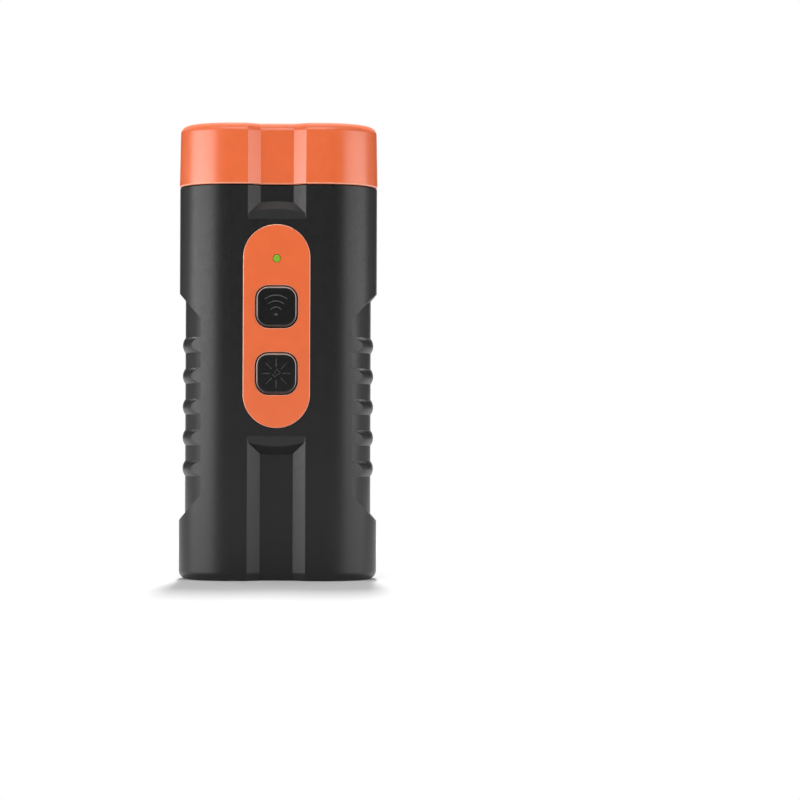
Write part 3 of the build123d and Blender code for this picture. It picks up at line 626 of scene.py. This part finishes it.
def paint_edge_highlight(finish, axis, face, run, band, colour, low=1.0):
    """Paints a highlight into the colour of a band of the edge that starts at a face. The painted
    highlight is weaker (low) where the edge looks down, away from the lamps.

    The band's four places are shares of the run: where it starts, is full, is still full, and ends.
    """
    nodes = finish.node_tree.nodes
    links = finish.node_tree.links
    under = nodes["Principled BSDF"].inputs["Base Color"]
    split = nodes.new("ShaderNodeSeparateXYZ")
    links.new(place_on(finish), split.inputs["Vector"])
    behind = nodes.new("ShaderNodeMapRange")
    behind.inputs["From Min"].default_value = face
    behind.inputs["From Max"].default_value = face + run
    links.new(split.outputs[axis], behind.inputs["Value"])
    edge = nodes.new("ShaderNodeValToRGB")
    edge.color_ramp.elements[0].position = band[0]
    edge.color_ramp.elements[0].color = (0, 0, 0, 1)
    edge.color_ramp.elements[1].position = band[3]
    edge.color_ramp.elements[1].color = (0, 0, 0, 1)
    for position in band[1:3]:
        edge.color_ramp.elements.new(position).color = (1, 1, 1, 1)
    links.new(behind.outputs["Result"], edge.inputs["Fac"])
    facing = nodes.new("ShaderNodeSeparateXYZ")
    links.new(nodes.new("ShaderNodeNewGeometry").outputs["Normal"], facing.inputs["Vector"])
    upward = nodes.new("ShaderNodeMapRange")
    upward.inputs["From Min"].default_value = -UPRIGHT
    upward.inputs["From Max"].default_value = UPRIGHT
    upward.inputs["To Min"].default_value = low
    upward.inputs["To Max"].default_value = 1.0
    links.new(facing.outputs["Z"], upward.inputs["Value"])
    highlight_share = nodes.new("ShaderNodeMath")
    highlight_share.operation = "MULTIPLY"
    links.new(edge.outputs["Color"], highlight_share.inputs[0])
    links.new(upward.outputs["Result"], highlight_share.inputs[1])
    # the painted highlight colour is mixed over the finish's own colour
    blend = nodes.new("ShaderNodeMix")
    blend.data_type = "RGBA"    # its colours are inputs 6 and 7 and output 2
    blend.inputs[7].default_value = (*colour, 1)
    links.new(highlight_share.outputs[0], blend.inputs[0])
    links.new(under.links[0].from_socket, blend.inputs[6])
    links.new(blend.outputs[2], under)


def scuff(finish, start, full, roughness):
    """Makes a finish duller from one height up to another, and above that."""
    nodes = finish.node_tree.nodes
    links = finish.node_tree.links
    under = nodes["Principled BSDF"].inputs["Roughness"]
    split = nodes.new("ShaderNodeSeparateXYZ")
    links.new(place_on(finish), split.inputs["Vector"])
    above = nodes.new("ShaderNodeMapRange")
    above.inputs["From Min"].default_value = start
    above.inputs["From Max"].default_value = full
    links.new(split.outputs["Z"], above.inputs["Value"])
    blend = nodes.new("ShaderNodeMix")    # its numbers are inputs 2 and 3 and output 0
    blend.inputs[3].default_value = roughness
    links.new(above.outputs["Result"], blend.inputs[0])
    links.new(under.links[0].from_socket, blend.inputs[2])
    links.new(blend.outputs[0], under)


print("finish helpers ready")

# %% [markdown]
# ## The moulded plastics
# The case is black with a satin skin, as from a mould that is eroded by sparks: it is evenly and
# very finely pitted, so a lamp shows in it as a broad soft streak. The cap and the panel have the
# same skin in orange. The keys are smoother, and their raised signs are a little paler than they
# are.

# %% Case, cap and keys
def key_skin(slot, per_mm, dark, light):
    """A smooth dark skin, for the keys and for their signs."""
    finish = new_finish(slot, (0.005, 0.005, 0.005), 0.24, specular=0.6)
    tint(finish, mottle(finish, per_mm), dark, light)
    polish(finish, mottle(finish, 2.0, detail=4), 0.21, 0.27)
    emboss(finish, mottle(finish, 5.0), 0.0004)
    return finish


case_finish = new_finish("case_plastic", (0.0045, 0.0045, 0.0050), 0.36)
tint(case_finish, mottle(case_finish, 0.25), (0.0040, 0.0040, 0.0045), (0.0050, 0.0050, 0.0055))
polish(case_finish, mottle(case_finish, 1.2, detail=4), 0.33, 0.40)
emboss(case_finish, mottle(case_finish, 5.0), 0.0016)

orange_finish = new_finish("orange_plastic", (0.80, 0.123, 0.014), 0.34, specular=1.0)
tint(orange_finish, mottle(orange_finish, 0.25), (0.785, 0.120, 0.013), (0.815, 0.126, 0.015))
orange_finish.node_tree.nodes["Principled BSDF"].inputs["IOR"].default_value = 1.6
polish(orange_finish, mottle(orange_finish, 1.2, detail=4), 0.31, 0.37)
emboss(orange_finish, mottle(orange_finish, 5.0), 0.0016)

key_finish = key_skin("key_plastic", 0.6, (0.0045, 0.0045, 0.0045), (0.0055, 0.0055, 0.0052))
sign_finish = key_skin("key_sign", 2.0, (0.022, 0.022, 0.022), (0.030, 0.030, 0.030))
print("plastics", sorted(FINISHES))

# %% [markdown]
# The rounded edges of the keys and of the panel catch the lamps as thin bright lines, and these
# highlights are painted into their colour. The panel and the keys get their own copies of the
# finishes, in which the rounded edge just behind the front face is painted lighter, less so where
# it looks down. So does the cap: a highlight is painted along its lower edge, and its crown is
# duller than its sides.

# %% Painted edge highlights
# The pale colours below are painted highlights on the rounded edges of the panel, the cap's lower
# edge and the keys.
PANEL_EDGE = 0.25 * MM
PANEL_BAND = (0.1, 0.3, 0.7, 1.0)
PANEL_HIGHLIGHT = (0.95, 0.60, 0.46)
CAP_EDGE = 0.4 * MM
CAP_BAND = (0.0, 0.2, 0.8, 1.0)
CAP_HIGHLIGHT = (0.92, 0.33, 0.19)
CROWN_START = 1.7 * MM
CROWN_FULL = 1.0 * MM
CROWN_ROUGHNESS = 0.75
KEY_EDGE = 0.5 * MM
KEY_BAND = (0.12, 0.28, 0.5, 0.68)
KEY_HIGHLIGHT = (0.72, 0.52, 0.46)
panel_finish = orange_finish.copy()
panel_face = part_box("control_panel")[0].y
paint_edge_highlight(panel_finish, "Y", panel_face, PANEL_EDGE, PANEL_BAND, PANEL_HIGHLIGHT, low=0.8)
cap_finish = orange_finish.copy()
cap_bottom, cap_top = (corner.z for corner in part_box("head_cap"))
paint_edge_highlight(cap_finish, "Z", cap_bottom, CAP_EDGE, CAP_BAND, CAP_HIGHLIGHT)
scuff(cap_finish, cap_top - CROWN_START, cap_top - CROWN_FULL, CROWN_ROUGHNESS)
key_highlight_finish = key_finish.copy()
paint_edge_highlight(key_highlight_finish, "Y", key_face, KEY_EDGE, KEY_BAND, KEY_HIGHLIGHT, low=0.12)
print("edges behind", round(panel_face / MM, 2), round(key_face / MM, 2))

# %% [markdown]
# ## Clear parts
# The green indicator is a light pipe that glows a little. The torch lamp is water-clear, so it
# needs real transmission and a smooth surface.

# %% Lenses
green_finish = new_finish("green_lens", (0.17, 0.36, 0.027), 0.15)
tint(green_finish, mottle(green_finish, 0.8), (0.155, 0.34, 0.024), (0.185, 0.38, 0.030))
polish(green_finish, mottle(green_finish, 1.5), 0.12, 0.2)
green_shader = green_finish.node_tree.nodes["Principled BSDF"]
green_shader.inputs["Emission Color"].default_value = (0.22, 0.46, 0.02, 1)
green_shader.inputs["Emission Strength"].default_value = 0.2

clear_finish = new_finish("clear_lens", (0.95, 0.97, 0.98), 0.04)
polish(clear_finish, mottle(clear_finish, 0.5), 0.02, 0.06)
tint(clear_finish, mottle(clear_finish, 0.3), (0.93, 0.96, 0.97), (0.97, 0.98, 0.99))
clear_shader = clear_finish.node_tree.nodes["Principled BSDF"]
clear_shader.inputs["Transmission Weight"].default_value = 1.0
clear_shader.inputs["IOR"].default_value = 1.5
print("lenses", green_finish.name, clear_finish.name)

# %% [markdown]
# ## Metals
# A metal's colour is the colour of its reflection, and what tells one from another is how it was
# worked: rolled sheet has streaks in one direction, dipped tin is blotchy, and drawn cans are even
# with a soft gloss.

# %% Metals
steel_finish = new_finish("plated_steel", (0.56, 0.55, 0.53), 0.28, metallic=1.0)
tint(steel_finish, mottle(steel_finish, 1.5), (0.50, 0.49, 0.47), (0.60, 0.59, 0.57))
polish(steel_finish, mottle(steel_finish, 3.0, stretch=(1, 1, 0.1)), 0.22, 0.36)

tin_finish = new_finish("tin_plate", (0.70, 0.69, 0.66), 0.35, metallic=1.0)
tint(tin_finish, mottle(tin_finish, 0.8, detail=4), (0.62, 0.61, 0.58), (0.76, 0.75, 0.72))
polish(tin_finish, mottle(tin_finish, 1.6, detail=4), 0.26, 0.46)

can_finish = new_finish("can_metal", (0.66, 0.67, 0.68), 0.3, metallic=1.0)
tint(can_finish, mottle(can_finish, 0.6), (0.62, 0.63, 0.64), (0.70, 0.71, 0.72))
polish(can_finish, mottle(can_finish, 4.0, stretch=(0.15, 0.15, 1)), 0.24, 0.38)
emboss(can_finish, mottle(can_finish, 4.0, stretch=(0.15, 0.15, 1)), 0.001)

brass_finish = new_finish("disc_brass", (0.72, 0.52, 0.22), 0.3, metallic=1.0)
tint(brass_finish, mottle(brass_finish, 0.7, detail=3), (0.66, 0.46, 0.18), (0.78, 0.58, 0.27))
polish(brass_finish, mottle(brass_finish, 3.0, stretch=(1, 0.1, 1)), 0.22, 0.38)

grille_finish = new_finish("grille_metal", (0.03, 0.03, 0.032), 0.42)
tint(grille_finish, mottle(grille_finish, 1.5), (0.024, 0.024, 0.026), (0.036, 0.036, 0.038))
polish(grille_finish, mottle(grille_finish, 2.5), 0.36, 0.5)
emboss(grille_finish, mottle(grille_finish, 6.0), 0.004)

copper_finish = new_finish("copper", (0.72, 0.30, 0.12), 0.25, metallic=1.0)
# The bands darken the colour where they also sink the grooves between the turns: painted shade in
# the grooves.
tint(copper_finish, bands(copper_finish, 4.0, "Y"), (0.42, 0.14, 0.05),
     (0.80, 0.36, 0.16), 0.1, 0.6)
polish(copper_finish, mottle(copper_finish, 1.5), 0.2, 0.32)
emboss(copper_finish, bands(copper_finish, 4.0, "Y"), 0.06)
print("metals", len(FINISHES), "finishes so far")

# %% [markdown]
# ## Boards, chips and cells
# These are hidden inside the case and show when it is opened. The board's green lacquer lies over
# copper tracks, which show through it as paler lines. Moulded chips are matt and finely grained,
# ferrite is pressed powder with a metallic fleck, and the cells wear a glossy shrink sleeve.

# %% Inner parts
board_finish = new_finish("board_green", (0.02, 0.13, 0.05), 0.32)
tint(board_finish, bands(board_finish, 0.9, "X", wobble=2.5), (0.015, 0.10, 0.04),
     (0.04, 0.20, 0.08), 0.62, 0.7)
polish(board_finish, mottle(board_finish, 1.0), 0.26, 0.38)
emboss(board_finish, bands(board_finish, 0.9, "X", wobble=2.5), 0.02)

chip_finish = new_finish("black_moulding", (0.025, 0.025, 0.027), 0.55)
tint(chip_finish, mottle(chip_finish, 2.0, detail=4), (0.02, 0.02, 0.022), (0.032, 0.032, 0.034))
polish(chip_finish, mottle(chip_finish, 4.0), 0.48, 0.64)
emboss(chip_finish, mottle(chip_finish, 8.0), 0.004)

ferrite_finish = new_finish("ferrite", (0.05, 0.05, 0.055), 0.5, metallic=0.3)
tint(ferrite_finish, pores(ferrite_finish, 5.0), (0.09, 0.09, 0.10), (0.04, 0.04, 0.045), 0.0, 0.4)
polish(ferrite_finish, mottle(ferrite_finish, 5.0), 0.4, 0.62)
emboss(ferrite_finish, mottle(ferrite_finish, 5.0), 0.006)

ceramic_finish = new_finish("ceramic_tan", (0.42, 0.30, 0.18), 0.4)
tint(ceramic_finish, mottle(ceramic_finish, 3.0), (0.36, 0.25, 0.14), (0.48, 0.35, 0.22))
polish(ceramic_finish, mottle(ceramic_finish, 4.0), 0.32, 0.5)

sleeve_finish = new_finish("cell_wrap", (0.03, 0.13, 0.36), 0.22)
tint(sleeve_finish, mottle(sleeve_finish, 0.15), (0.027, 0.12, 0.33), (0.034, 0.145, 0.39))
polish(sleeve_finish, mottle(sleeve_finish, 0.5, detail=4), 0.16, 0.3)
emboss(sleeve_finish, mottle(sleeve_finish, 0.6, stretch=(1, 1, 0.3)), 0.03)

foam_finish = new_finish("foam", (0.035, 0.035, 0.036), 0.85)
# The cells darken the colour where they also sink the pits: painted shade in the foam's pits.
tint(foam_finish, pores(foam_finish, 3.0), (0.02, 0.02, 0.02), (0.05, 0.05, 0.052), 0.05, 0.5)
polish(foam_finish, mottle(foam_finish, 2.0), 0.8, 0.95)
emboss(foam_finish, pores(foam_finish, 3.0), 0.08)
print(len(FINISHES), "finishes")

# %% [markdown]
# The lamp's yellow blob has its own finish, because it is neither ceramic nor lens: a waxy yellow
# with fine grains of powder in it.

# %% Lamp chip's finish
blob_finish = new_finish("lamp_blob", (0.80, 0.62, 0.12), 0.45)
tint(blob_finish, mottle(blob_finish, 8.0), (0.72, 0.52, 0.08), (0.86, 0.72, 0.20))
polish(blob_finish, mottle(blob_finish, 6.0), 0.38, 0.55)
print("blob", blob_finish.name)

# %% [markdown]
# ## Putting the finishes on
# The record of the part says which slot each node belongs to. A node of the frame keeps its mesh
# and only swaps the material in its slots. A new piece has no material yet and is given one.

# %% Dress every part
OWN_FINISHES = {"control_panel": panel_finish, "head_cap": cap_finish,
                "emitter_key": key_highlight_finish, "torch_key": key_highlight_finish}
for entry in frame["record"]["subparts"]:
    node = frame["nodes"][entry["node"]]
    finish = OWN_FINISHES.get(entry["node"], FINISHES[entry["material_slot"]])
    for holder in node.material_slots:
        holder.material = finish


def dress(piece, slot, finish=None):
    """Gives a new piece the finish it is given, or else the finish of its slot."""
    piece.data.materials.clear()
    piece.data.materials.append(finish or FINISHES[slot])


NEW_PIECES = ((wave_sign, "key_plastic", sign_finish), (lamp_sign, "key_plastic", sign_finish),
              (lamp_frame, "tin_plate", None), (lamp_chip, "ceramic_tan", blob_finish),
              (lamp_wire, "disc_brass", None), (socket_contacts, "disc_brass", None))
for piece, slot, finish in NEW_PIECES:
    dress(piece, slot, finish)
print("dressed", len(frame["nodes"]), "parts and", len(NEW_PIECES), "new pieces")

# %% [markdown]
# ## Floor and backdrop
# The part stands on a white sweep: a sheet that lies flat and curves up behind. A plane is added a
# hair below the foot, its far edge is pulled up, and the fold is rounded with a wide bevel. The
# sheet is kept narrow: a wide one shows in the barrels' outer edges, which have to stay dark.

# %% Sweep
SWEEP_WIDTH = 1.1
SWEEP_FRONT = -0.6
SWEEP_BACK = 1.8
SWEEP_RISE = 1.5
SWEEP_DROP = 0.02 * MM
SWEEP_CURVE = 0.7
SWEEP_STEPS = 16
EDGE_NEAR = 0.01
sweep_middle = (0, (SWEEP_FRONT + SWEEP_BACK) / 2, -SWEEP_DROP)
bpy.ops.mesh.primitive_plane_add(size=1, location=sweep_middle)
bpy.context.active_object.scale = (SWEEP_WIDTH, SWEEP_BACK - SWEEP_FRONT, 1)
sweep = named("sweep")
edit(sweep)
pick_edges(sweep, lambda place: place.y > SWEEP_BACK - EDGE_NEAR)
bpy.ops.mesh.extrude_region_move(TRANSFORM_OT_translate={"value": (0, 0, SWEEP_RISE)})
pick_edges(sweep, lambda place: place.y > SWEEP_BACK - EDGE_NEAR and place.z < EDGE_NEAR)
bpy.ops.mesh.bevel(offset=SWEEP_CURVE, segments=SWEEP_STEPS)
leave()
sweep.select_set(True)
bpy.ops.object.shade_smooth()
bpy.ops.object.select_all(action="DESELECT")
print("sweep", len(sweep.data.polygons), "faces")

# %% [markdown]
# The sweep has to look white without flooding the part with light. Its material therefore shows a
# plain white of strength 1 to the camera, and to rays that come by way of a shiny or a clear
# surface. Close to the part, where the shadow falls, most of the ordinary lit surface is mixed in,
# and further out less and less of it.

# %% Sweep's finish
SWEEP_WHITE = 0.675
GLOW_NEAR = 0.05
GLOW_FROM = 0.12
GLOW_TO = 0.35
sweep_finish = bpy.data.materials.new("sweep_finish")
sweep_finish.use_nodes = True
nodes = sweep_finish.node_tree.nodes
links = sweep_finish.node_tree.links
sweep_shader = nodes["Principled BSDF"]
sweep_shader.inputs["Base Color"].default_value = (SWEEP_WHITE, SWEEP_WHITE, SWEEP_WHITE, 1)
sweep_shader.inputs["Roughness"].default_value = 0.9
sweep_shader.inputs["Specular IOR Level"].default_value = 0.0
glow = nodes.new("ShaderNodeEmission")
glow.inputs["Strength"].default_value = 1.0
path = nodes.new("ShaderNodeLightPath")
seen = nodes.new("ShaderNodeMath")
seen.operation = "ADD"
seen_too = nodes.new("ShaderNodeMath")
seen_too.operation = "ADD"
seen_too.use_clamp = True
sweep_place = nodes.new("ShaderNodeTexCoord")
reach = nodes.new("ShaderNodeVectorMath")
reach.operation = "LENGTH"
fade = nodes.new("ShaderNodeMapRange")
fade.inputs["From Min"].default_value = GLOW_FROM
fade.inputs["From Max"].default_value = GLOW_TO
fade.inputs["To Min"].default_value = GLOW_NEAR
fade.inputs["To Max"].default_value = 1.0
share = nodes.new("ShaderNodeMath")
share.operation = "MULTIPLY"
blend_node = nodes.new("ShaderNodeMixShader")
links.new(path.outputs["Is Camera Ray"], seen.inputs[0])
links.new(path.outputs["Is Glossy Ray"], seen.inputs[1])
links.new(seen.outputs[0], seen_too.inputs[0])
links.new(path.outputs["Is Transmission Ray"], seen_too.inputs[1])
links.new(sweep_place.outputs["Object"], reach.inputs[0])
links.new(reach.outputs["Value"], fade.inputs["Value"])
links.new(seen_too.outputs[0], share.inputs[0])
links.new(fade.outputs["Result"], share.inputs[1])
links.new(share.outputs[0], blend_node.inputs[0])
links.new(sweep_shader.outputs[0], blend_node.inputs[1])
links.new(glow.outputs[0], blend_node.inputs[2])
links.new(blend_node.outputs[0], nodes["Material Output"].inputs["Surface"])
sweep.data.materials.append(sweep_finish)
print("sweep shows", GLOW_NEAR, "of plain white near the part")

# %% [markdown]
# ## Light
# A black, shiny part shows its shape by what it reflects. Two wide, low softboxes stand almost
# beside it, so that each barrel carries one broad soft streak down its outer half while the fronts
# stay dark. Two weak ones carry on from them towards the back and keep the outer edges from going
# quite black. Two thin ones, high behind the shoulders, draw the bright lines along the tops of the
# ribs. One in front is too high to show in the upright faces: it only brings up their colour. One
# overhead shows in the slope that ends the upper channel. The strongest stands steeply behind and
# throws the short shadow in front of the foot: it is narrow, which gives the shadow firm sides, and
# deep, which lets it fade towards the front. A dim, even world fills the rest.

# %% Softboxes and world
PART_MIDDLE = 0.055
POWER_PER_AREA = 4
WORLD_STRENGTH = 0.09


def softbox(name, direction, height, distance, sides, brightness):
    """A soft rectangular lamp that faces the part, this many degrees round from the front.

    Its power grows with its area, so that a larger lamp is as bright as a small one.
    """
    data = bpy.data.lights.new(name, "AREA")
    data.shape = "RECTANGLE"
    data.size, data.size_y = sides
    data.energy = brightness * POWER_PER_AREA * sides[0] * sides[1]
    lamp = bpy.data.objects.new(name, data)
    bpy.context.scene.collection.objects.link(lamp)
    turn = math.radians(direction)
    lamp.location = (math.sin(turn) * distance, -math.cos(turn) * distance, height)
    towards = Vector((0, 0, PART_MIDDLE)) - lamp.location
    lamp.rotation_euler = towards.to_track_quat("-Z", "Y").to_euler()
    lamp.visible_camera = False
    return lamp


lamps = [
    softbox("left_box", -68, 0.095, 0.52, (0.60, 0.18), 3.6),
    softbox("right_box", 75, 0.095, 0.52, (0.55, 0.18), 2.3),
    softbox("left_edge", -117, 0.10, 0.52, (0.30, 0.16), 0.25),
    softbox("right_edge", 119, 0.10, 0.52, (0.26, 0.16), 0.2),
    softbox("left_rim", -140, 0.36, 0.50, (0.28, 0.08), 5.0),
    softbox("right_rim", 140, 0.36, 0.50, (0.28, 0.08), 4.5),
    softbox("front_box", 0, 0.54, 0.50, (0.45, 0.25), 4.8),
    softbox("top_box", 0, 0.62, 0.10, (0.30, 0.20), 1.5),
    softbox("back_box", 180, 1.60, 0.77, (0.10, 0.68), 119.0),
]
world = bpy.data.worlds.new("studio")
world.use_nodes = True
background = world.node_tree.nodes["Background"]
background.inputs["Color"].default_value = (1, 1, 1, 1)
background.inputs["Strength"].default_value = WORLD_STRENGTH
bpy.context.scene.world = world
print("lamps", [lamp.name for lamp in lamps])
